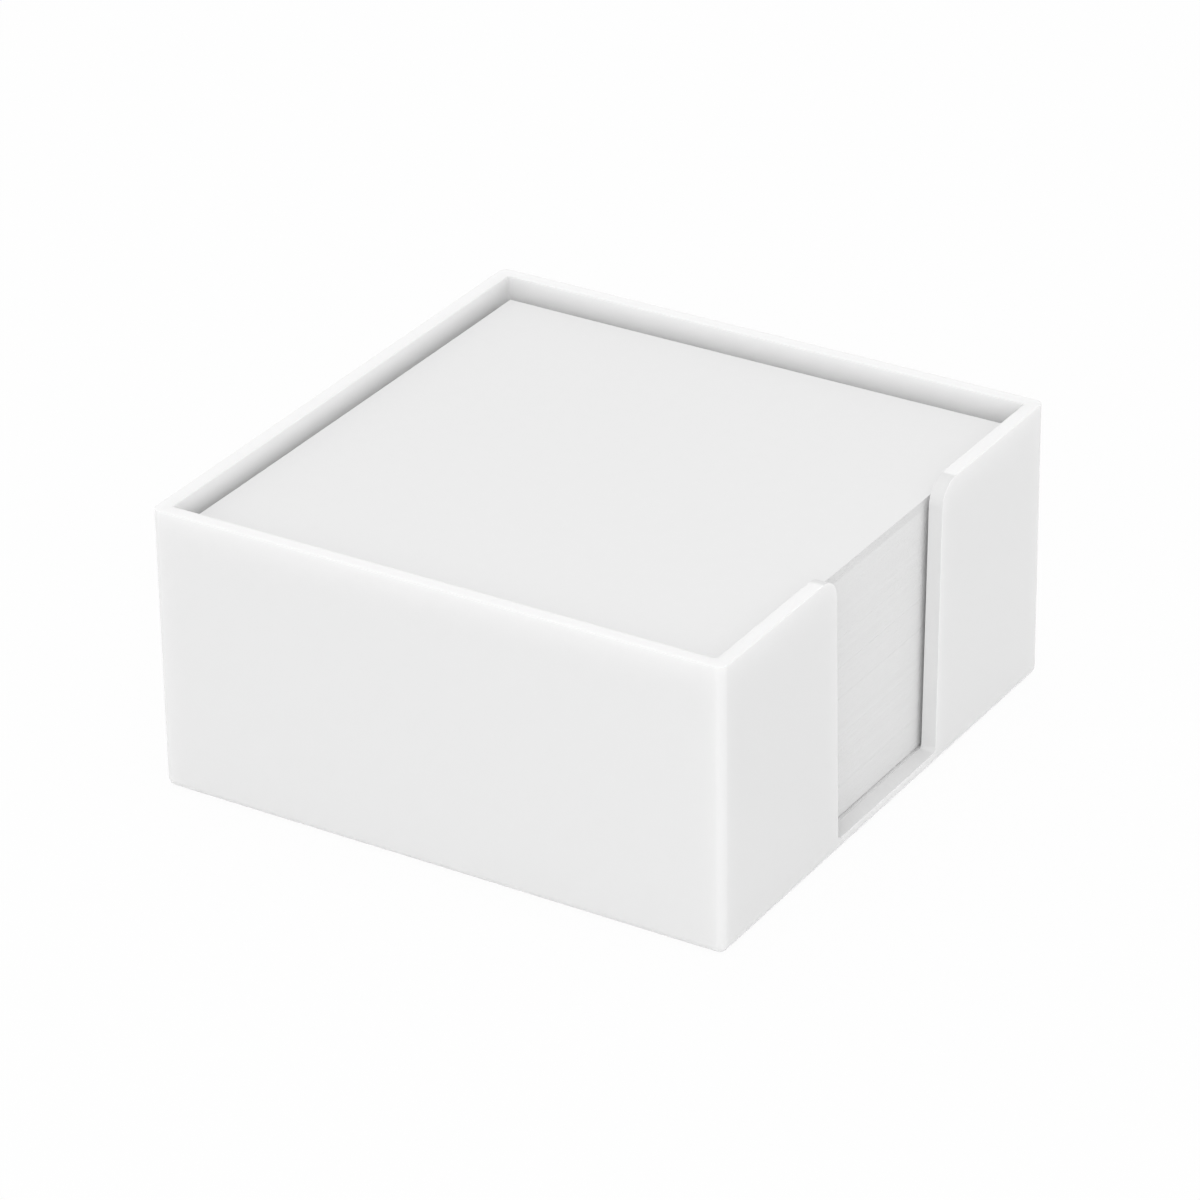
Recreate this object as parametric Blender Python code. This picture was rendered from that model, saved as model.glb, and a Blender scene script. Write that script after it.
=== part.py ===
"""Square note box: a one-piece moulded tray with a finger slot in its front wall, and the loose notes in it.

Metres, +Z up. The origin is at the centre of the tray's foot, and the finger slot faces -Y.
The tray is a shell swept round a square: one outline for each step of the wall's section.
The slot is cut through the front wall, and every free edge is then rounded, each by its own radius.
The notes lie loose in the tray: wads of notes, and single notes on top of them.
"""

import math

import bmesh
import bpy

# Notes: a wad is a pile of some 50 of them, and the wads fill the room under the single notes
NOTE_SIDE = 0.0900
NOTE_THICKNESS = 0.000099
WADS = 8
SINGLE_NOTES = 12
AIR_GAP = 0.00002

# Tray
BOX_HEIGHT = 0.0469
RIM_ABOVE_NOTES = 0.00345
NOTE_PLAY = 0.00115
WALL_THICKNESS = 0.00225
FLOOR_THICKNESS = 0.00225
CORNER_RADIUS = 0.0013
FOOT_CORNER_SHARE = 0.15
FOOT_RADIUS = 0.0015
INNER_CORNER_RADIUS = 0.0004
INNER_FLOOR_RADIUS = 0.0003
WALL_LEAN = math.radians(0.1)
CORE_DRAFT = math.radians(0.1)

# Finger slot
SLOT_WIDTH = 0.0300
SLOT_FLARE = math.radians(1.3)
SHOULDER_RADIUS = 0.0040
LIP_RISE = 0.0001
LIP_CORNER_RADIUS = 0.0008

# Rounding of the free edges, on the outer faces and on the inner ones
RIM_ROUNDING = 0.0006
SIDE_ROUNDING = 0.0004
LIP_ROUNDING = 0.0007
INNER_ROUNDING = 0.00025
ROUND_PROFILE = 0.5

# Hollow under the floor, inside the ring that the tray stands on
FOOT_RING_WIDTH = 0.0050
RECESS_DEPTH = 0.0005
RECESS_CHAMFER = 0.0005
RECESS_CORNER_RADIUS = 0.0030

# Facets
CORNER_STEPS = 8
FOOT_STEPS = 6
FLOOR_STEPS = 3
SHOULDER_STEPS = 10
LIP_CORNER_STEPS = 5
OUTER_EDGE_STEPS = 4
INNER_EDGE_STEPS = 2
SMOOTH_BELOW = math.radians(32)
SHARP_EDGE = math.radians(50)
CUT_OVERRUN = 0.0020
EDGE_WEIGHT = "bevel_weight_edge"

# Sizes that follow from those above
single_notes_height = SINGLE_NOTES * (NOTE_THICKNESS + AIR_GAP)
wads_height = BOX_HEIGHT - RIM_ABOVE_NOTES - single_notes_height - FLOOR_THICKNESS
wad_thickness = wads_height / WADS - AIR_GAP
floor_inner_half = NOTE_SIDE / 2 + NOTE_PLAY
slot_bottom = FLOOR_THICKNESS + LIP_RISE


def inner_half(height):
    """Half the width between the tray's inner faces, which open slightly towards the rim."""
    return floor_inner_half + math.tan(CORE_DRAFT) * (height - FLOOR_THICKNESS)


def outer_half(height):
    """Half the width over the tray's outer faces, which lean in slightly towards the rim."""
    return inner_half(BOX_HEIGHT) + WALL_THICKNESS + math.tan(WALL_LEAN) * (BOX_HEIGHT - height)


def principled(name, colour, roughness):
    """A plain material of one colour."""
    material = bpy.data.materials.new(name)
    material.use_nodes = True
    shader = material.node_tree.nodes["Principled BSDF"]
    shader.inputs["Base Color"].default_value = (*colour, 1.0)
    shader.inputs["Roughness"].default_value = roughness
    shader.inputs["Metallic"].default_value = 0.0
    return material


def new_object(name, bm, material):
    """An object made of a bmesh, shaded smooth except at its sharp edges."""
    mesh = bpy.data.meshes.new(name)
    bm.to_mesh(mesh)
    bm.free()
    mesh.materials.append(material)
    mesh.shade_smooth()
    mesh.set_sharp_from_angle(angle=SMOOTH_BELOW)
    obj = bpy.data.objects.new(name, mesh)
    bpy.context.scene.collection.objects.link(obj)
    return obj


def add_ring(bm, half, radius, height):
    """Vertices of a square outline with rounded corners, anticlockwise seen from above."""
    ring = []
    for quarter in range(4):
        across = 1 if quarter in (0, 3) else -1
        along = 1 if quarter in (0, 1) else -1
        for step in range(CORNER_STEPS + 1):
            angle = math.pi / 2 * (quarter + step / CORNER_STEPS)
            x = across * (half - radius) + radius * math.cos(angle)
            y = along * (half - radius) + radius * math.sin(angle)
            ring.append(bm.verts.new((x, y, height)))
    return ring


def tray_rings(bm):
    """The section of the tray, from the middle of the underside round the rim to the floor."""
    recess_half = outer_half(0) - FOOT_RADIUS - FOOT_RING_WIDTH
    rings = [
        add_ring(bm, recess_half - RECESS_CHAMFER, RECESS_CORNER_RADIUS, RECESS_DEPTH),
        add_ring(bm, recess_half, RECESS_CORNER_RADIUS, 0),
    ]
    for step in range(FOOT_STEPS + 1):
        angle = math.pi / 2 * step / FOOT_STEPS
        inset = FOOT_RADIUS * (1 - math.sin(angle))
        height = FOOT_RADIUS * (1 - math.cos(angle))
        radius = CORNER_RADIUS * (1 - (1 - FOOT_CORNER_SHARE) * (1 - math.sin(angle)))
        rings.append(add_ring(bm, outer_half(height) - inset, radius, height))
    rings.append(add_ring(bm, outer_half(BOX_HEIGHT), CORNER_RADIUS, BOX_HEIGHT))
    rings.append(add_ring(bm, inner_half(BOX_HEIGHT), INNER_CORNER_RADIUS, BOX_HEIGHT))
    for step in range(FLOOR_STEPS + 1):
        angle = math.pi / 2 * step / FLOOR_STEPS
        inset = INNER_FLOOR_RADIUS * (1 - math.cos(angle))
        height = FLOOR_THICKNESS + INNER_FLOOR_RADIUS * (1 - math.sin(angle))
        rings.append(add_ring(bm, inner_half(height) - inset, INNER_CORNER_RADIUS, height))
    return rings


def tray_shell(material):
    """The whole tray before its slot is cut."""
    bm = bmesh.new()
    rings = tray_rings(bm)
    count = len(rings[0])
    for lower, upper in zip(rings, rings[1:]):
        for i in range(count):
            j = (i + 1) % count
            bm.faces.new((lower[i], lower[j], upper[j], upper[i]))
    bm.faces.new(list(reversed(rings[0])))
    bm.faces.new(rings[-1])
    bmesh.ops.recalc_face_normals(bm, faces=bm.faces[:])
    return new_object("note_box", bm, material)


def arc(centre_x, centre_z, radius, first, last, steps):
    """Points of an arc from one angle to another, as (x, z)."""
    points = []
    for step in range(steps + 1):
        angle = first + (last - first) * step / steps
        points.append((centre_x + radius * math.cos(angle), centre_z + radius * math.sin(angle)))
    return points


def slot_outline():
    """The slot seen from the front: its lip and the small corners beside it, its sides and its shoulders."""
    corner_x = SLOT_WIDTH / 2 - LIP_CORNER_RADIUS * (1 - math.sin(SLOT_FLARE)) / math.cos(SLOT_FLARE)
    corner_z = slot_bottom + LIP_CORNER_RADIUS
    shoulder_z = BOX_HEIGHT - SHOULDER_RADIUS
    side_x = SLOT_WIDTH / 2 + math.tan(SLOT_FLARE) * (shoulder_z - slot_bottom)
    shoulder_x = side_x + SHOULDER_RADIUS / math.cos(SLOT_FLARE)
    right = arc(corner_x, corner_z, LIP_CORNER_RADIUS, -math.pi / 2, -SLOT_FLARE, LIP_CORNER_STEPS)
    right += arc(shoulder_x, shoulder_z, SHOULDER_RADIUS, math.pi - SLOT_FLARE, math.pi / 2, SHOULDER_STEPS)
    right.append((shoulder_x, BOX_HEIGHT + CUT_OVERRUN))
    left = [(-x, z) for x, z in reversed(right)]
    return right + left


def slot_cutter(material):
    """A solid of the slot's outline that runs through the front wall and stops inside the tray."""
    front = -outer_half(0) - CUT_OVERRUN
    back = -inner_half(FLOOR_THICKNESS) + CUT_OVERRUN
    bm = bmesh.new()
    outline = slot_outline()
    face = bm.faces.new([bm.verts.new((x, front, z)) for x, z in outline])
    pushed = bmesh.ops.extrude_face_region(bm, geom=[face])
    moved = [item for item in pushed["geom"] if isinstance(item, bmesh.types.BMVert)]
    bmesh.ops.translate(bm, verts=moved, vec=(0, back - front, 0))
    bmesh.ops.recalc_face_normals(bm, faces=bm.faces[:])
    cutter = new_object("slot_cutter", bm, material)
    cutter.hide_render = True
    cutter.display_type = "WIRE"
    return cutter


def free_edges(bm, outside):
    """The sharp convex edges round the rim and the slot, on the outer faces or on the inner ones."""
    found = []
    for edge in bm.edges:
        if len(edge.link_faces) != 2 or edge.calc_face_angle_signed(0) < SHARP_EDGE:
            continue
        middle = (edge.verts[0].co + edge.verts[1].co) / 2
        if middle.z < FLOOR_THICKNESS:
            continue
        reach = max(abs(middle.x), abs(middle.y))
        mid_wall = (inner_half(middle.z) + outer_half(middle.z)) / 2
        if (reach > mid_wall) == outside:
            found.append(edge)
    return found


def rounding(edge, outside):
    """An edge's radius: the rim's or the lip's where it runs level, and the slot sides' where it is upright."""
    if not outside:
        return INNER_ROUNDING
    start, end = (vert.co for vert in edge.verts)
    upright = ((end.z - start.z) / (end - start).length) ** 2
    level_radius = RIM_ROUNDING if start.z + end.z > BOX_HEIGHT else LIP_ROUNDING
    return level_radius * (1 - upright) + SIDE_ROUNDING * upright


def bake_modifiers(obj):
    """Makes the shape that an object's modifiers give it its own."""
    bpy.context.view_layer.update()
    evaluated = obj.evaluated_get(bpy.context.evaluated_depsgraph_get())
    shaped = bpy.data.meshes.new_from_object(evaluated)
    obj.modifiers.clear()
    obj.data = shaped


def cut_slot(tray, cutter):
    """Takes the cutter's solid out of the tray."""
    cut = tray.modifiers.new("slot", "BOOLEAN")
    cut.object = cutter
    cut.operation = "DIFFERENCE"
    cut.solver = "EXACT"
    bake_modifiers(tray)


def round_edges(tray, outside, steps):
    """Rounds the free edges of the tray's outer or inner faces."""
    bm = bmesh.new()
    bm.from_mesh(tray.data)
    radii = {edge.index: rounding(edge, outside) for edge in free_edges(bm, outside)}
    bm.free()
    largest = max(radii.values())
    weights = tray.data.attributes.new(EDGE_WEIGHT, "FLOAT", "EDGE")
    for index, radius in radii.items():
        weights.data[index].value = radius / largest
    bevel = tray.modifiers.new("rounding", "BEVEL")
    bevel.limit_method = "WEIGHT"
    bevel.offset_type = "OFFSET"
    bevel.width = largest
    bevel.segments = steps
    bevel.profile = ROUND_PROFILE
    bevel.loop_slide = False
    bake_modifiers(tray)
    tray.data.attributes.remove(tray.data.attributes[EDGE_WEIGHT])


def paper_block(name, thickness, material):
    """Notes pressed flat: one, or a wad of them. Its origin is in the middle of its underside."""
    bm = bmesh.new()
    half = NOTE_SIDE / 2
    corners = [(-half, -half), (half, -half), (half, half), (-half, half)]
    underside = bm.faces.new([bm.verts.new((x, y, 0)) for x, y in corners])
    pushed = bmesh.ops.extrude_face_region(bm, geom=[underside])
    moved = [item for item in pushed["geom"] if isinstance(item, bmesh.types.BMVert)]
    bmesh.ops.translate(bm, verts=moved, vec=(0, 0, thickness))
    bmesh.ops.recalc_face_normals(bm, faces=bm.faces[:])
    return new_object(name, bm, material)


def lay_notes(tray, paper):
    """Lays the wads and then the single notes on each other. Each one carries all that lies on it."""
    pieces = [(f"note_wad_{n + 1}", wad_thickness) for n in range(WADS)]
    pieces += [(f"single_note_{n + 1:02d}", NOTE_THICKNESS) for n in range(SINGLE_NOTES)]
    carrier, rise = tray, FLOOR_THICKNESS + AIR_GAP
    for name, thickness in pieces:
        piece = paper_block(name, thickness, paper)
        piece.parent = carrier
        piece.location = (0, 0, rise)
        carrier, rise = piece, thickness + AIR_GAP


def build():
    for obj in list(bpy.data.objects):
        bpy.data.objects.remove(obj, do_unlink=True)
    plastic = principled("opal_plastic", (0.86, 0.86, 0.86), 0.22)
    paper = principled("note_paper", (0.84, 0.84, 0.83), 0.85)
    tray = tray_shell(plastic)
    cutter = slot_cutter(plastic)
    cut_slot(tray, cutter)
    round_edges(tray, True, OUTER_EDGE_STEPS)
    round_edges(tray, False, INNER_EDGE_STEPS)
    tray.data.shade_smooth()
    tray.data.set_sharp_from_angle(angle=SMOOTH_BELOW)
    lay_notes(tray, paper)


build()
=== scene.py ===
"""The looks of a square note box: a moulded opal tray with a finger slot, and the loose notes in it.

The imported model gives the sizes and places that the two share. The tray is swept and cut once more with
finer roundings, and each wad of notes becomes a pile of separate sheets.
"""

import math

import bmesh
import bpy
from mathutils import Matrix, Vector


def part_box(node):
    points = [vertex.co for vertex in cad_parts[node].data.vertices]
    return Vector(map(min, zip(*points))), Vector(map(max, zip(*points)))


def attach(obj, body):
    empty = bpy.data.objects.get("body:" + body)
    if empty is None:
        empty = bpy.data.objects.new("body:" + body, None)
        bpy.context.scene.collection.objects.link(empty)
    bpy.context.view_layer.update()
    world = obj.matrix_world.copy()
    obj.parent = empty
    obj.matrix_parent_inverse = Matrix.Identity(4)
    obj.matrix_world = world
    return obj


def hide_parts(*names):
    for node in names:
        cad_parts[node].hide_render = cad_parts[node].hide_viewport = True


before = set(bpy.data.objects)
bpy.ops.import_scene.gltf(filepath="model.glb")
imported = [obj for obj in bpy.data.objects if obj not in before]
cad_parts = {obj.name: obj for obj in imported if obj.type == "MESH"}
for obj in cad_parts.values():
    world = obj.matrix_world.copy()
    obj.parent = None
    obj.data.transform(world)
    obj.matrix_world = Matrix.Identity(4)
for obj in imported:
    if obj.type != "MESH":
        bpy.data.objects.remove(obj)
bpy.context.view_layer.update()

# The tray, with its foot and its height taken from the frame
foot_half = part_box("note_box")[1].x
box_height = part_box("note_box")[1].z
WALL_LEAN = math.radians(0.1)
CORE_DRAFT = math.radians(0.1)
WALL_THICKNESS = 0.00225
FLOOR_THICKNESS = 0.00225
CORNER_RADIUS = 0.0013
FOOT_CORNER_SHARE = 0.15
FOOT_RADIUS = 0.0015
INNER_CORNER_RADIUS = 0.0004
INNER_FLOOR_RADIUS = 0.0003
SLOT_WIDTH = 0.0300
SLOT_FLARE = math.radians(1.3)
SHOULDER_RADIUS = 0.0040
LIP_RISE = 0.0001
LIP_CORNER_RADIUS = 0.0008
FOOT_RING_WIDTH = 0.0050
RECESS_DEPTH = 0.0005
RECESS_CHAMFER = 0.0005
RECESS_CORNER_RADIUS = 0.0030
CUT_OVERRUN = 0.0020

# Rounding of the tray's free edges
RIM_ROUNDING = 0.0006
SIDE_ROUNDING = 0.0004
LIP_ROUNDING = 0.0007
INNER_ROUNDING = 0.00025

# Facets of the tray
CORNER_STEPS = 20
FOOT_STEPS = 14
FLOOR_STEPS = 6
SHOULDER_STEPS = 28
LIP_CORNER_STEPS = 10
EDGE_STEPS = 8
MERGE_DISTANCE = 0.000001
FREE_EDGE_ANGLE = math.radians(60)
SMOOTH_BELOW = math.radians(30)

# Sizes that follow from those above
rim_half = foot_half - math.tan(WALL_LEAN) * box_height
inner_rim_half = rim_half - WALL_THICKNESS
mid_wall = rim_half - WALL_THICKNESS / 2
slot_bottom = FLOOR_THICKNESS + LIP_RISE

# The notes, with their side and thickness taken from the frame
WADS = 8
SINGLE_NOTES = 12
note_low, note_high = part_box("single_note_12")
note_side = note_high.x - note_low.x
note_thickness = note_high.z - note_low.z
STACK_TURN = math.radians(-0.166)
STACK_SHIFT = Vector((-0.00090, -0.00032, 0.0))
SHEET_SHIFT = 0.000015
SHEET_TURN = math.radians(0.01)
PILE_DRIFT = 0.00012
PILE_DRIFT_HEIGHT = 0.006
DRIFT_DETAIL = 2.0
SHEET_FILL_SHARE = 0.99
# Loose sheets stand a little higher than the tight solids that stand for them
PILE_LOOSENESS = 1.0103
CURL_HEIGHT = 0.00008
CURL_STEEPNESS = 4.0
CURLED_SHEET_STEPS = 25
PILE_SEED = 11
SEED_STEP = 10

# Plastic and paper: linear greys, scales of noise per metre, and the noise's range that is spread out
PLASTIC_GREYS = (0.843, 0.847)
PLASTIC_ROUGHNESS = (0.22, 0.26)
PLASTIC_MASK_RANGE = (0.3, 0.7)
PLASTIC_CLOUD_SCALE = 35.0
PLASTIC_GRAIN_SCALE = 6000.0
PLASTIC_BUMP = 0.05
PLASTIC_IOR = 1.49
PLASTIC_SPECULAR_LEVEL = 0.35
PLASTIC_SCATTER_DEPTH = 0.0020
PAPER_GREYS = (0.843, 0.855)
PAPER_MASK_RANGE = (0.25, 0.75)
PAPER_CLOUD_SCALE = 450.0
PAPER_FIBRE_SCALE = 5200.0
PAPER_BUMP = 0.1
PAPER_ROUGHNESS = 0.9
PAPER_SPECULAR_LEVEL = 0.2
SHEET_SHADE_REACH = 0.15
COARSE_DETAIL = 3.0
FINE_DETAIL = 2.0
FINE_SHARE = 0.5
BUMP_HEIGHT = 0.00001

# The camera, fitted to the photograph's straight edges
CAMERA_AZIMUTH = math.radians(-58.304)
CAMERA_ELEVATION = math.radians(28.231)
CAMERA_ROLL = math.radians(-0.787)
CAMERA_DISTANCE = 0.836520
CAMERA_AIM_HEIGHT = 0.0242
CAMERA_ASIDE = -0.001046
CAMERA_ABOVE = -0.001710
FOCAL_LENGTH_MM = 166.171
SENSOR_WIDTH_MM = 36.0
CLIP_RATIO = 100

# Light
WORLD_STRENGTH = 0.80
FLOOR_GLOW_SHARE = 0.94
FLOOR_COLOUR = (0.88, 0.88, 0.88, 1.0)
FLOOR_ROUGHNESS = 0.8
FLOOR_RADIUS = 4.0
FLOOR_STEPS_ROUND = 64
LAMP_DISTANCE = 1.6
LAMP_SIZE = 1.1
# Each lamp: name, azimuth from the plain left side towards the front, elevation, power in watts
LAMPS = [
    ("left_front_lamp", math.radians(27), math.radians(30), 5.4),
    ("top_lamp", 0.0, math.radians(88), 2.2),
    ("back_lamp", math.radians(-140), math.radians(25), 1.5),
]


def add_node(tree, kind, values=None, **settings):
    """A node with its settings. A value is set on the input of that name or number, or linked to it."""
    node = tree.nodes.new(kind)
    for name, setting in settings.items():
        setattr(node, name, setting)
    for key, value in (values or {}).items():
        if isinstance(value, bpy.types.NodeSocket):
            tree.links.new(value, node.inputs[key])
        else:
            node.inputs[key].default_value = value
    return node


def calc(tree, operation, first, second=0.0, third=0.0):
    """The result of a Math node."""
    return add_node(tree, "ShaderNodeMath", {0: first, 1: second, 2: third}, operation=operation).outputs[0]


def vector(tree, x=0.0, y=0.0, z=0.0):
    """Three numbers as one vector."""
    return add_node(tree, "ShaderNodeCombineXYZ", {0: x, 1: y, 2: z}).outputs[0]


def new_group(name, kind, inputs, outputs):
    """An empty node group with named sockets, and the sockets inside it where values come in and go out."""
    tree = bpy.data.node_groups.new(name, kind)
    for label, socket_type in inputs:
        tree.interface.new_socket(label, in_out="INPUT", socket_type=socket_type)
    for label, socket_type in outputs:
        tree.interface.new_socket(label, in_out="OUTPUT", socket_type=socket_type)
    given = tree.nodes.new("NodeGroupInput").outputs
    result = tree.nodes.new("NodeGroupOutput").inputs
    return tree, given, result


def add_nodes_modifier(holder, tree, values):
    """Puts a Geometry Nodes tree on an object and sets the tree's inputs by their identifiers."""
    modifier = holder.modifiers.new(tree.name, "NODES")
    modifier.node_group = tree
    for item in tree.interface.items_tree:
        if item.in_out == "INPUT" and item.name in values:
            modifier[item.identifier] = values[item.name]


def holder_of(name, points):
    """An object that carries modifiers, with these points as its mesh."""
    mesh = bpy.data.meshes.new(name)
    mesh.from_pydata(points, [], [])
    holder = bpy.data.objects.new(name, mesh)
    bpy.context.scene.collection.objects.link(holder)
    return holder


def bake_modifiers(holder):
    """Turns what the modifiers make of the holder into its own plain mesh."""
    bpy.context.view_layer.update()
    evaluated = holder.evaluated_get(bpy.context.evaluated_depsgraph_get())
    mesh = bpy.data.meshes.new_from_object(evaluated)
    holder.modifiers.clear()
    holder.data = mesh
    mesh.name = holder.name


# Shader groups

def grain_group():
    """Two sizes of fine noise, for a surface that isn't quite even: a mask from 0 to 1, and a height."""
    tree, given, result = new_group(
        "surface_grain",
        "ShaderNodeTree",
        [
            ("Coarse Scale", "NodeSocketFloat"),
            ("Fine Scale", "NodeSocketFloat"),
            ("Fine Share", "NodeSocketFloat"),
        ],
        [("Mask", "NodeSocketFloat"), ("Height", "NodeSocketFloat")],
    )
    where = add_node(tree, "ShaderNodeTexCoord").outputs["Object"]
    coarse_noise = {"Vector": where, "Scale": given["Coarse Scale"], "Detail": COARSE_DETAIL}
    coarse = add_node(tree, "ShaderNodeTexNoise", coarse_noise).outputs[0]
    fine_noise = {"Vector": where, "Scale": given["Fine Scale"], "Detail": FINE_DETAIL}
    fine = add_node(tree, "ShaderNodeTexNoise", fine_noise).outputs[0]
    both = add_node(tree, "ShaderNodeMix", {0: given["Fine Share"], 2: coarse, 3: fine}).outputs[0]
    tree.links.new(both, result["Mask"])
    tree.links.new(fine, result["Height"])
    return tree


def new_material(name):
    """A material with its shader, and its node tree."""
    material = bpy.data.materials.new(name)
    material.use_nodes = True
    return material, material.node_tree, material.node_tree.nodes["Principled BSDF"]


def placed_grain(tree, grain, coarse_scale, fine_scale):
    """The grain group in a material, with that material's own sizes of noise."""
    node = add_node(tree, "ShaderNodeGroup", node_tree=grain)
    node.inputs["Coarse Scale"].default_value = coarse_scale
    node.inputs["Fine Scale"].default_value = fine_scale
    node.inputs["Fine Share"].default_value = FINE_SHARE
    return node.outputs


def spread_over(tree, value, low, high, first=0.0, last=1.0):
    """A value's range from low to high, spread over the range from first to last."""
    return add_node(tree, "ShaderNodeMapRange", {0: value, 1: low, 2: high, 3: first, 4: last}).outputs[0]


def between_greys(tree, share, darker, paler):
    """A grey between two others."""
    greys = {0: share, 6: (darker, darker, darker, 1.0), 7: (paler, paler, paler, 1.0)}
    return add_node(tree, "ShaderNodeMix", greys, data_type="RGBA").outputs[2]


def fine_bump(tree, height, strength):
    """The surface's normal, roughened by a height."""
    bump = {"Strength": strength, "Distance": BUMP_HEIGHT, "Height": height}
    return add_node(tree, "ShaderNodeBump", bump).outputs[0]


def opal_plastic(grain):
    """White plastic with a satin gloss that lets a little light in at its edges."""
    material, tree, shader = new_material("opal_plastic")
    uneven = placed_grain(tree, grain, PLASTIC_CLOUD_SCALE, PLASTIC_GRAIN_SCALE)
    tone = spread_over(tree, uneven["Mask"], *PLASTIC_MASK_RANGE)
    colour = between_greys(tree, tone, *PLASTIC_GREYS)
    roughness = spread_over(tree, uneven["Mask"], *PLASTIC_MASK_RANGE, *PLASTIC_ROUGHNESS)
    tree.links.new(colour, shader.inputs["Base Color"])
    tree.links.new(roughness, shader.inputs["Roughness"])
    tree.links.new(fine_bump(tree, uneven["Height"], PLASTIC_BUMP), shader.inputs["Normal"])
    shader.inputs["IOR"].default_value = PLASTIC_IOR
    shader.inputs["Specular IOR Level"].default_value = PLASTIC_SPECULAR_LEVEL
    shader.inputs["Subsurface Weight"].default_value = 1.0
    shader.inputs["Subsurface Radius"].default_value = (1.0, 1.0, 1.0)
    shader.inputs["Subsurface Scale"].default_value = PLASTIC_SCATTER_DEPTH
    return material


def note_paper(grain):
    """Plain white uncoated paper. Each sheet's own shade shows on the pile's cut sides."""
    material, tree, shader = new_material("note_paper")
    fibres = placed_grain(tree, grain, PAPER_CLOUD_SCALE, PAPER_FIBRE_SCALE)
    own_shade = add_node(tree, "ShaderNodeAttribute", attribute_name="sheet_shade").outputs["Fac"]
    shade = spread_over(tree, own_shade, 0.0, 1.0, -SHEET_SHADE_REACH, SHEET_SHADE_REACH)
    tone = spread_over(tree, calc(tree, "ADD", fibres["Mask"], shade), *PAPER_MASK_RANGE)
    tree.links.new(between_greys(tree, tone, *PAPER_GREYS), shader.inputs["Base Color"])
    tree.links.new(fine_bump(tree, fibres["Height"], PAPER_BUMP), shader.inputs["Normal"])
    shader.inputs["Roughness"].default_value = PAPER_ROUGHNESS
    shader.inputs["Specular IOR Level"].default_value = PAPER_SPECULAR_LEVEL
    return material


# The tray

def tray_section():
    """The tray's section from the middle of its underside round the rim to the middle of its floor.

    Each point holds (half the width, radius of the corners, height).
    """
    recess_half = foot_half - FOOT_RADIUS - FOOT_RING_WIDTH
    section = [
        (0, 0, RECESS_DEPTH),
        (recess_half - RECESS_CHAMFER, RECESS_CORNER_RADIUS, RECESS_DEPTH),
        (recess_half, RECESS_CORNER_RADIUS, 0),
    ]
    for step in range(FOOT_STEPS + 1):
        angle = math.pi / 2 * step / FOOT_STEPS
        inset = FOOT_RADIUS * (1 - math.sin(angle))
        height = FOOT_RADIUS * (1 - math.cos(angle))
        radius = CORNER_RADIUS * (1 - (1 - FOOT_CORNER_SHARE) * (1 - math.sin(angle)))
        section.append((foot_half - math.tan(WALL_LEAN) * height - inset, radius, height))
    section.append((rim_half, CORNER_RADIUS, box_height))
    section.append((inner_rim_half, INNER_CORNER_RADIUS, box_height))
    for step in range(FLOOR_STEPS + 1):
        angle = math.pi / 2 * step / FLOOR_STEPS
        inset = INNER_FLOOR_RADIUS * (1 - math.cos(angle))
        height = FLOOR_THICKNESS + INNER_FLOOR_RADIUS * (1 - math.sin(angle))
        half = inner_rim_half - math.tan(CORE_DRAFT) * (box_height - height) - inset
        section.append((half, INNER_CORNER_RADIUS, height))
    section.append((0, 0, FLOOR_THICKNESS))
    return section


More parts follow.
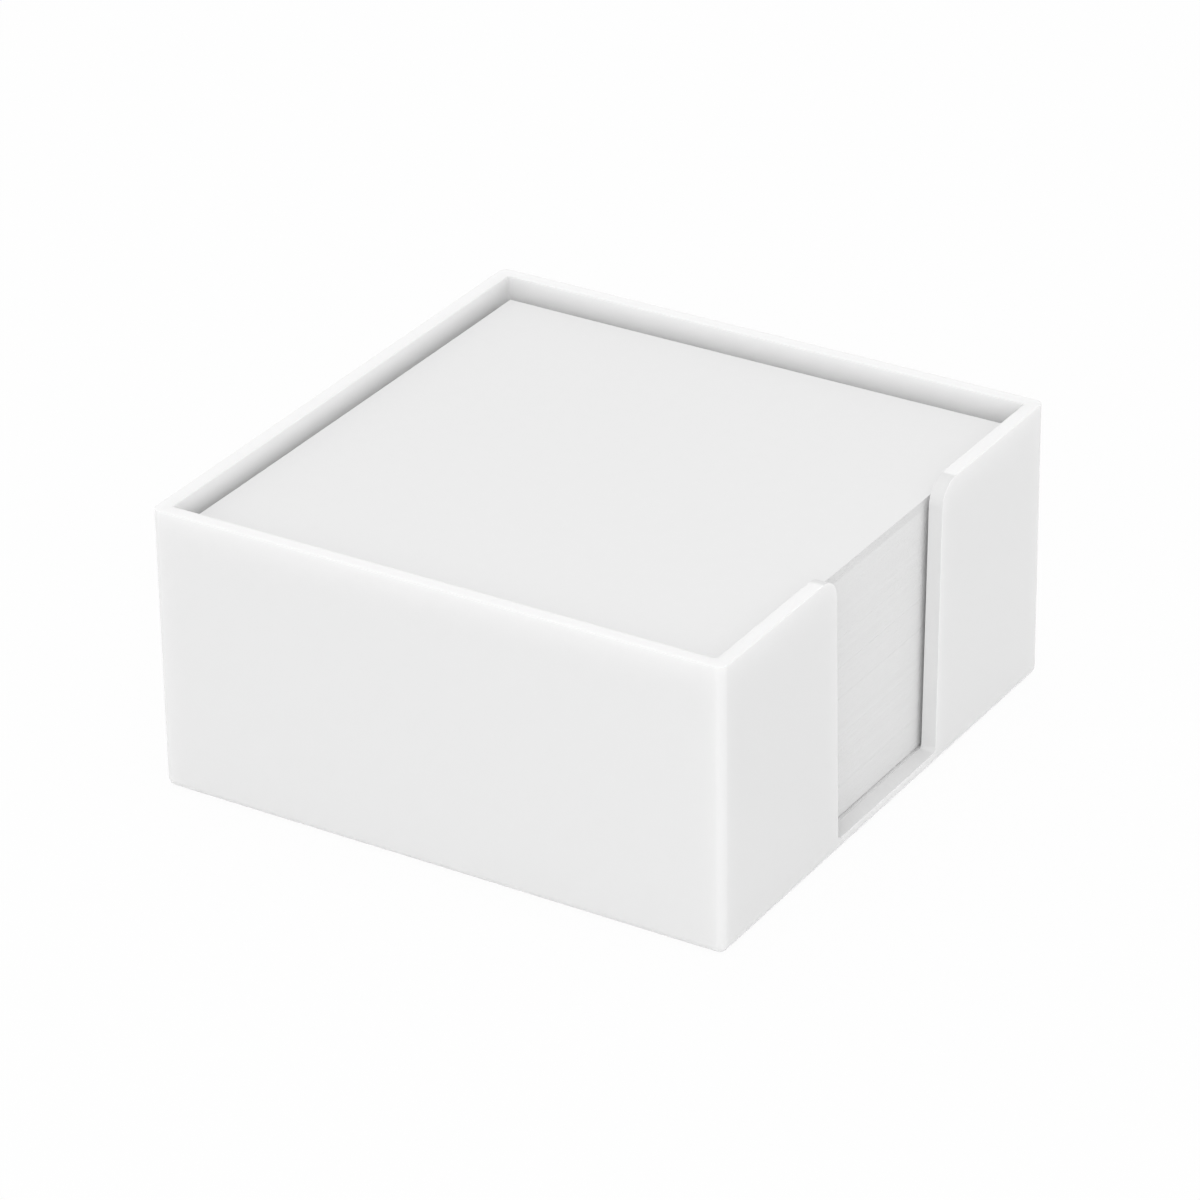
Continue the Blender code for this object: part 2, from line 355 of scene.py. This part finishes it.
def swept_shell_tree():
    """Sweeps a section round a square with rounded corners. Its points are (half, radius, height)."""
    tree, given, result = new_group(
        "swept_shell",
        "GeometryNodeTree",
        [
            ("Section", "NodeSocketGeometry"),
            ("Corner Steps", "NodeSocketInt"),
            ("Merge Distance", "NodeSocketFloat"),
            ("Plastic", "NodeSocketMaterial"),
        ],
        [("Shell", "NodeSocketGeometry")],
    )
    count = add_node(tree, "GeometryNodeAttributeDomainSize", {0: given["Section"]}).outputs["Point Count"]
    per_corner = calc(tree, "ADD", given["Corner Steps"], 1.0)
    around = calc(tree, "MULTIPLY_ADD", per_corner, 4.0, 1.0)
    grid_size = {"Vertices X": around, "Vertices Y": count}
    grid = add_node(tree, "GeometryNodeMeshGrid", grid_size).outputs["Mesh"]

    index = add_node(tree, "GeometryNodeInputIndex").outputs[0]
    column = calc(tree, "FLOOR", calc(tree, "DIVIDE", calc(tree, "ADD", index, 0.5), count))
    row = calc(tree, "SUBTRACT", index, calc(tree, "MULTIPLY", column, count))
    where = add_node(tree, "GeometryNodeInputPosition").outputs[0]
    sample = add_node(
        tree, "GeometryNodeSampleIndex", data_type="FLOAT_VECTOR", domain="POINT", clamp=True
    )
    tree.links.new(given["Section"], sample.inputs["Geometry"])
    tree.links.new(where, sample.inputs["Value"])
    tree.links.new(row, sample.inputs["Index"])
    half, radius, height = add_node(tree, "ShaderNodeSeparateXYZ", {0: sample.outputs["Value"]}).outputs[:3]

    quarter = calc(tree, "FLOOR", calc(tree, "DIVIDE", calc(tree, "ADD", column, 0.5), per_corner))
    step = calc(tree, "SUBTRACT", column, calc(tree, "MULTIPLY", quarter, per_corner))
    turned = calc(tree, "ADD", quarter, calc(tree, "DIVIDE", step, given["Corner Steps"]))
    angle = calc(tree, "MULTIPLY", turned, math.pi / 2)
    diagonal = calc(tree, "MULTIPLY", calc(tree, "ADD", quarter, 0.5), math.pi / 2)
    straight = calc(tree, "SUBTRACT", half, radius)

    def reach(wave):
        side = calc(tree, "SIGN", calc(tree, wave, diagonal))
        rounded = calc(tree, "MULTIPLY", radius, calc(tree, wave, angle))
        return calc(tree, "MULTIPLY_ADD", side, straight, rounded)

    place = vector(tree, reach("COSINE"), reach("SINE"), height)
    swept = add_node(tree, "GeometryNodeSetPosition", {"Geometry": grid, "Position": place}).outputs[0]
    merged = add_node(
        tree, "GeometryNodeMergeByDistance", {"Geometry": swept, "Distance": given["Merge Distance"]}
    ).outputs[0]
    dressed = add_node(
        tree, "GeometryNodeSetMaterial", {"Geometry": merged, "Material": given["Plastic"]}
    ).outputs[0]
    tree.links.new(dressed, result["Shell"])
    return tree


def free_edges_tree():
    """Marks the free edges above the floor with the radius of their rounding.

    The rim and the lip have radii of their own, which run into that of the slot's upright sides.
    """
    tree, given, result = new_group(
        "free_edges",
        "GeometryNodeTree",
        [
            ("Shell", "NodeSocketGeometry"),
            ("Sharper Than", "NodeSocketFloat"),
            ("Above", "NodeSocketFloat"),
            ("Mid Wall", "NodeSocketFloat"),
            ("Mid Height", "NodeSocketFloat"),
            ("Largest", "NodeSocketFloat"),
            ("Rim", "NodeSocketFloat"),
            ("Side", "NodeSocketFloat"),
            ("Lip", "NodeSocketFloat"),
            ("Inner", "NodeSocketFloat"),
        ],
        [("Shell", "NodeSocketGeometry")],
    )
    where = add_node(tree, "GeometryNodeInputPosition").outputs[0]
    x, y, z = add_node(tree, "ShaderNodeSeparateXYZ", {0: where}).outputs[:3]
    reach = calc(tree, "MAXIMUM", calc(tree, "ABSOLUTE", x), calc(tree, "ABSOLUTE", y))
    outside = calc(tree, "GREATER_THAN", reach, given["Mid Wall"])
    at_rim = calc(tree, "GREATER_THAN", z, given["Mid Height"])
    ends = add_node(tree, "GeometryNodeInputMeshEdgeVertices").outputs
    run = add_node(
        tree, "ShaderNodeVectorMath", {0: ends["Position 1"], 1: ends["Position 2"]}, operation="SUBTRACT"
    ).outputs[0]
    run = add_node(tree, "ShaderNodeVectorMath", {0: run}, operation="NORMALIZE").outputs[0]
    rise = add_node(tree, "ShaderNodeSeparateXYZ", {0: run}).outputs[2]
    upright = calc(tree, "MULTIPLY", rise, rise)
    level = add_node(tree, "ShaderNodeMix", {0: at_rim, 2: given["Lip"], 3: given["Rim"]}).outputs[0]
    outer = add_node(tree, "ShaderNodeMix", {0: upright, 2: level, 3: given["Side"]}).outputs[0]
    radius = add_node(tree, "ShaderNodeMix", {0: outside, 2: given["Inner"], 3: outer}).outputs[0]
    share = calc(tree, "DIVIDE", radius, given["Largest"])
    bend = add_node(tree, "GeometryNodeInputMeshEdgeAngle").outputs["Signed Angle"]
    sharp = calc(tree, "GREATER_THAN", bend, given["Sharper Than"])
    high = calc(tree, "GREATER_THAN", z, given["Above"])
    weight = calc(tree, "MULTIPLY", share, calc(tree, "MULTIPLY", sharp, high))
    marked = add_node(
        tree,
        "GeometryNodeStoreNamedAttribute",
        {"Geometry": given["Shell"], "Name": "bevel_weight_edge", "Value": weight},
        data_type="FLOAT",
        domain="EDGE",
    ).outputs[0]
    tree.links.new(marked, result["Shell"])
    return tree


def arc(centre_x, centre_z, radius, first, last, steps):
    """Points of an arc from one angle to another, as (x, z)."""
    points = []
    for step in range(steps + 1):
        angle = first + (last - first) * step / steps
        points.append((centre_x + radius * math.cos(angle), centre_z + radius * math.sin(angle)))
    return points


def slot_outline():
    """The slot seen from the front: its lip and the small corners beside it, its sides and its shoulders."""
    corner_x = SLOT_WIDTH / 2 - LIP_CORNER_RADIUS * (1 - math.sin(SLOT_FLARE)) / math.cos(SLOT_FLARE)
    corner_z = slot_bottom + LIP_CORNER_RADIUS
    shoulder_z = box_height - SHOULDER_RADIUS
    side_x = SLOT_WIDTH / 2 + math.tan(SLOT_FLARE) * (shoulder_z - slot_bottom)
    shoulder_x = side_x + SHOULDER_RADIUS / math.cos(SLOT_FLARE)
    right = arc(corner_x, corner_z, LIP_CORNER_RADIUS, -math.pi / 2, -SLOT_FLARE, LIP_CORNER_STEPS)
    right += arc(shoulder_x, shoulder_z, SHOULDER_RADIUS, math.pi - SLOT_FLARE, math.pi / 2, SHOULDER_STEPS)
    right.append((shoulder_x, box_height + CUT_OVERRUN))
    return right + [(-x, z) for x, z in reversed(right)]


def slot_cutter():
    """A solid of the slot's outline that runs through the front wall."""
    front = -foot_half - CUT_OVERRUN
    back = -inner_rim_half + CUT_OVERRUN
    bm = bmesh.new()
    face = bm.faces.new([bm.verts.new((x, front, z)) for x, z in slot_outline()])
    pushed = bmesh.ops.extrude_face_region(bm, geom=[face])
    moved = [item for item in pushed["geom"] if isinstance(item, bmesh.types.BMVert)]
    bmesh.ops.translate(bm, verts=moved, vec=(0, back - front, 0))
    bmesh.ops.recalc_face_normals(bm, faces=bm.faces[:])
    cutter = holder_of("slot_cutter", [])
    bm.to_mesh(cutter.data)
    bm.free()
    return cutter


def tray(plastic):
    """The moulded tray: swept, cut for the finger slot, and rounded along every free edge."""
    piece = holder_of("moulded_tray", tray_section())
    add_nodes_modifier(
        piece,
        swept_shell_tree(),
        {"Corner Steps": CORNER_STEPS, "Merge Distance": MERGE_DISTANCE, "Plastic": plastic},
    )
    cutter = slot_cutter()
    cut = piece.modifiers.new("slot", "BOOLEAN")
    cut.object = cutter
    cut.operation = "DIFFERENCE"
    cut.solver = "EXACT"
    add_nodes_modifier(
        piece,
        free_edges_tree(),
        {
            "Sharper Than": FREE_EDGE_ANGLE,
            "Above": FLOOR_THICKNESS,
            "Mid Wall": mid_wall,
            "Mid Height": box_height / 2,
            "Largest": LIP_ROUNDING,
            "Rim": RIM_ROUNDING,
            "Side": SIDE_ROUNDING,
            "Lip": LIP_ROUNDING,
            "Inner": INNER_ROUNDING,
        },
    )
    rounding = piece.modifiers.new("free_edges_rounded", "BEVEL")
    rounding.limit_method = "WEIGHT"
    rounding.width = LIP_ROUNDING
    rounding.segments = EDGE_STEPS
    rounding.loop_slide = False
    bake_modifiers(piece)
    bpy.data.objects.remove(cutter)
    piece.data.shade_smooth()
    piece.data.set_sharp_from_angle(angle=SMOOTH_BELOW)
    even = piece.modifiers.new("even_shading", "WEIGHTED_NORMAL")
    even.keep_sharp = True
    bake_modifiers(piece)
    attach(piece, "tray")
    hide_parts("note_box")


# The notes

def note_pile_tree():
    """A pile of square sheets, each shifted and turned a little, with curled corners on the top ones."""
    tree, given, result = new_group(
        "note_pile",
        "GeometryNodeTree",
        [
            ("Geometry", "NodeSocketGeometry"),
            ("Notes", "NodeSocketInt"),
            ("Side", "NodeSocketFloat"),
            ("Thickness", "NodeSocketFloat"),
            ("Pitch", "NodeSocketFloat"),
            ("Underside", "NodeSocketFloat"),
            ("Steps", "NodeSocketInt"),
            ("Curl", "NodeSocketFloat"),
            ("Pile Shift", "NodeSocketVector"),
            ("Pile Turn", "NodeSocketFloat"),
            ("Drift", "NodeSocketFloat"),
            ("Drift Height", "NodeSocketFloat"),
            ("Sheet Shift", "NodeSocketFloat"),
            ("Sheet Turn", "NodeSocketFloat"),
            ("Seed", "NodeSocketInt"),
            ("Paper", "NodeSocketMaterial"),
        ],
        [("Pile", "NodeSocketGeometry")],
    )
    half_thickness = calc(tree, "MULTIPLY", given["Thickness"], 0.5)
    first = vector(tree, 0.0, 0.0, calc(tree, "ADD", given["Underside"], half_thickness))
    line = add_node(
        tree,
        "GeometryNodeMeshLine",
        {"Count": given["Notes"], "Start Location": first, "Offset": vector(tree, 0.0, 0.0, given["Pitch"])},
        mode="OFFSET",
    ).outputs[0]
    sheet = add_node(
        tree,
        "GeometryNodeMeshCube",
        {
            "Size": vector(tree, given["Side"], given["Side"], given["Thickness"]),
            "Vertices X": given["Steps"],
            "Vertices Y": given["Steps"],
            "Vertices Z": 2,
        },
    ).outputs["Mesh"]

    def spread(reach, seed_step):
        low = calc(tree, "MULTIPLY", reach, -1.0)
        seed = calc(tree, "ADD", given["Seed"], seed_step)
        limits = {2: low, 3: reach, "Seed": seed}
        return add_node(tree, "FunctionNodeRandomValue", limits, data_type="FLOAT").outputs[1]

    turn = calc(tree, "ADD", given["Pile Turn"], spread(given["Sheet Turn"], 0))
    laid = add_node(
        tree,
        "GeometryNodeInstanceOnPoints",
        {"Points": line, "Instance": sheet, "Rotation": vector(tree, 0.0, 0.0, turn)},
    ).outputs[0]
    where = add_node(tree, "GeometryNodeInputPosition").outputs[0]
    across, along, height = add_node(tree, "ShaderNodeSeparateXYZ", {0: where}).outputs[:3]
    slow = add_node(
        tree,
        "ShaderNodeTexNoise",
        {"W": calc(tree, "DIVIDE", height, given["Drift Height"]), "Scale": 1.0, "Detail": DRIFT_DETAIL},
        noise_dimensions="1D",
    ).outputs["Color"]
    drift = add_node(
        tree, "ShaderNodeVectorMath", {0: slow, 1: (-0.5, -0.5, -0.5)}, operation="ADD"
    ).outputs[0]
    drift = add_node(
        tree, "ShaderNodeVectorMath", {0: drift, "Scale": given["Drift"]}, operation="SCALE"
    ).outputs[0]
    drift_x, drift_y, _ = add_node(tree, "ShaderNodeSeparateXYZ", {0: drift}).outputs[:3]
    own = vector(
        tree,
        calc(tree, "ADD", drift_x, spread(given["Sheet Shift"], 1)),
        calc(tree, "ADD", drift_y, spread(given["Sheet Shift"], 2)),
        0.0,
    )
    shift = add_node(
        tree, "ShaderNodeVectorMath", {0: own, 1: given["Pile Shift"]}, operation="ADD"
    ).outputs[0]
    moved = add_node(
        tree,
        "GeometryNodeTranslateInstances",
        {"Instances": laid, "Translation": shift, "Local Space": False},
    ).outputs[0]
    shade_limits = {2: 0.0, 3: 1.0, "Seed": calc(tree, "ADD", given["Seed"], 3)}
    shade = add_node(tree, "FunctionNodeRandomValue", shade_limits, data_type="FLOAT").outputs[1]
    shaded = add_node(
        tree,
        "GeometryNodeStoreNamedAttribute",
        {"Geometry": moved, "Name": "sheet_shade", "Value": shade},
        data_type="FLOAT",
        domain="INSTANCE",
    ).outputs[0]
    pile = add_node(tree, "GeometryNodeRealizeInstances", {"Geometry": shaded}).outputs[0]

    half_side = calc(tree, "MULTIPLY", given["Side"], 0.5)
    corner = calc(
        tree,
        "MULTIPLY",
        calc(tree, "ABSOLUTE", calc(tree, "DIVIDE", across, half_side)),
        calc(tree, "ABSOLUTE", calc(tree, "DIVIDE", along, half_side)),
    )
    rise = calc(tree, "MULTIPLY", given["Curl"], calc(tree, "POWER", corner, CURL_STEEPNESS))
    curled = add_node(
        tree, "GeometryNodeSetPosition", {"Geometry": pile, "Offset": vector(tree, 0.0, 0.0, rise)}
    ).outputs[0]
    dressed = add_node(
        tree, "GeometryNodeSetMaterial", {"Geometry": curled, "Material": given["Paper"]}
    ).outputs[0]
    tree.links.new(dressed, result["Pile"])
    return tree


def notes(paper):
    """Every wad as a pile of its own sheets, with the single notes on top, in place of their CAD nodes."""
    tree = note_pile_tree()
    nodes = [f"note_wad_{n + 1}" for n in range(WADS)]
    nodes += [f"single_note_{n + 1:02d}" for n in range(SINGLE_NOTES)]
    stack_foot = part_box(nodes[0])[0].z
    for order, node in enumerate(nodes):
        low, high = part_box(node)
        underside = stack_foot + (low.z - stack_foot) * PILE_LOOSENESS
        count = round((high.z - low.z) / note_thickness)
        single = order - WADS + 1
        piece = holder_of(node.replace("wad", "pile").replace("single", "loose"), [])
        add_nodes_modifier(
            piece,
            tree,
            {
                "Notes": count,
                "Side": note_side,
                "Thickness": note_thickness * SHEET_FILL_SHARE,
                "Pitch": (high.z - low.z) / count * PILE_LOOSENESS,
                "Underside": underside,
                "Steps": CURLED_SHEET_STEPS if single > 0 else 2,
                "Curl": CURL_HEIGHT * max(single, 0) / SINGLE_NOTES,
                "Pile Shift": STACK_SHIFT,
                "Pile Turn": STACK_TURN,
                "Drift": PILE_DRIFT,
                "Drift Height": PILE_DRIFT_HEIGHT,
                "Sheet Shift": SHEET_SHIFT,
                "Sheet Turn": SHEET_TURN,
                "Seed": PILE_SEED + SEED_STEP * order,
                "Paper": paper,
            },
        )
        bake_modifiers(piece)
        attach(piece, node)
        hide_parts(node)


# The surroundings

def floor_and_world():
    """A plain white floor that keeps the soft shadow, under an even white sky."""
    mesh = bpy.data.meshes.new("floor")
    bm = bmesh.new()
    bmesh.ops.create_circle(bm, cap_ends=True, segments=FLOOR_STEPS_ROUND, radius=FLOOR_RADIUS)
    bm.to_mesh(mesh)
    bm.free()
    floor = bpy.data.objects.new("floor", mesh)
    bpy.context.scene.collection.objects.link(floor)
    material, tree, shader = new_material("white_floor")
    shader.inputs["Base Color"].default_value = FLOOR_COLOUR
    shader.inputs["Roughness"].default_value = FLOOR_ROUGHNESS
    path = add_node(tree, "ShaderNodeLightPath")
    seen = calc(tree, "MAXIMUM", path.outputs["Is Camera Ray"], path.outputs["Is Glossy Ray"])
    glow = add_node(tree, "ShaderNodeEmission", {"Color": (1.0, 1.0, 1.0, 1.0), "Strength": 1.0})
    mixed = add_node(tree, "ShaderNodeMixShader", {0: calc(tree, "MULTIPLY", seen, FLOOR_GLOW_SHARE)})
    tree.links.new(shader.outputs[0], mixed.inputs[1])
    tree.links.new(glow.outputs[0], mixed.inputs[2])
    tree.links.new(mixed.outputs[0], tree.nodes["Material Output"].inputs["Surface"])
    mesh.materials.append(material)

    world = bpy.data.worlds.new("white_room")
    world.use_nodes = True
    bpy.context.scene.world = world
    tree = world.node_tree
    background = tree.nodes["Background"]
    path = add_node(tree, "ShaderNodeLightPath")
    seen = calc(tree, "MAXIMUM", path.outputs["Is Camera Ray"], path.outputs["Is Glossy Ray"])
    seen = calc(tree, "MAXIMUM", seen, path.outputs["Is Transmission Ray"])
    strength = add_node(tree, "ShaderNodeMix", {0: seen, 2: WORLD_STRENGTH, 3: 1.0}).outputs[0]
    background.inputs["Color"].default_value = (1.0, 1.0, 1.0, 1.0)
    tree.links.new(strength, background.inputs["Strength"])


def area_light(name, place, aim, size, watts):
    """A square soft lamp at a place, turned to its aim."""
    lamp = bpy.data.lights.new(name, "AREA")
    lamp.shape = "SQUARE"
    lamp.size = size
    lamp.energy = watts
    obj = bpy.data.objects.new(name, lamp)
    bpy.context.scene.collection.objects.link(obj)
    obj.location = place
    obj.rotation_mode = "QUATERNION"
    obj.rotation_quaternion = (Vector(aim) - Vector(place)).to_track_quat("-Z", "Y")


def lights():
    """Large soft lamps round the box, beside the even light of the room."""
    for name, azimuth, elevation, watts in LAMPS:
        level = math.cos(elevation)
        reach = Vector((-math.cos(azimuth) * level, -math.sin(azimuth) * level, math.sin(elevation)))
        area_light(name, reach * LAMP_DISTANCE, (0, 0, box_height / 2), LAMP_SIZE, watts)


def camera():
    """The camera at the photograph's place, turned by its small roll."""
    level = math.cos(CAMERA_ELEVATION)
    back = Vector((math.sin(CAMERA_AZIMUTH) * level, -math.cos(CAMERA_AZIMUTH) * level, 0))
    back.z = math.sin(CAMERA_ELEVATION)
    right = Vector((math.cos(CAMERA_AZIMUTH), math.sin(CAMERA_AZIMUTH), 0))
    up = back.cross(right)
    rolled_right = right * math.cos(CAMERA_ROLL) + up * math.sin(CAMERA_ROLL)
    rolled_up = up * math.cos(CAMERA_ROLL) - right * math.sin(CAMERA_ROLL)
    aim = Vector((0, 0, CAMERA_AIM_HEIGHT)) + rolled_right * CAMERA_ASIDE + rolled_up * CAMERA_ABOVE
    data = bpy.data.cameras.new("camera")
    data.sensor_width = SENSOR_WIDTH_MM
    data.lens = FOCAL_LENGTH_MM
    data.clip_start = CAMERA_DISTANCE / CLIP_RATIO
    data.clip_end = CAMERA_DISTANCE * CLIP_RATIO
    obj = bpy.data.objects.new("camera", data)
    bpy.context.scene.collection.objects.link(obj)
    turned = Matrix((rolled_right, rolled_up, back)).transposed().to_4x4()
    obj.matrix_world = Matrix.Translation(aim + back * CAMERA_DISTANCE) @ turned
    bpy.context.scene.camera = obj


grain = grain_group()
tray(opal_plastic(grain))
notes(note_paper(grain))
floor_and_world()
lights()
camera()
bpy.context.scene.view_settings.view_transform = "Standard"
